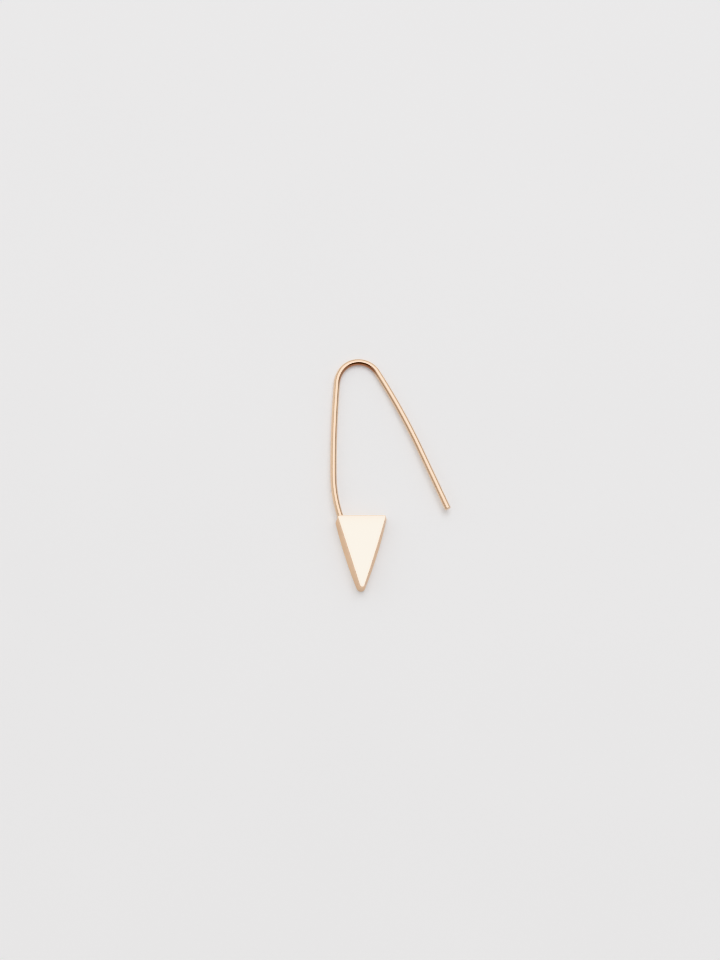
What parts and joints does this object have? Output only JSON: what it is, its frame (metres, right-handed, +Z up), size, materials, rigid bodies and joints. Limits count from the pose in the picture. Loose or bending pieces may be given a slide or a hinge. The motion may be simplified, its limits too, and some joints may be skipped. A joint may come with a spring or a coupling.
{
  "type": "safety pin earring",
  "caption": "Earring of one round wire bent into an open safety pin, soldered to a thick triangular head plate with a catch hole.",
  "frame": {"origin": "middle of the pin's outline seen from above, on the surface that the pin lies on", "axes": "+X from the fixed leg towards the free leg, +Y along the pin from the head plate to the crown of the wire, +Z up from the surface, out of the head plate's front face"},
  "size_m": [0.0156, 0.0312, 0.002],
  "materials": {
    "polished_gold": "mirror-polished 14 karat gold of a warm, slightly pink yellow"
  },
  "bodies": {
    "root": {"safety_pin": "polished_gold"}
  },
  "joints": []
}
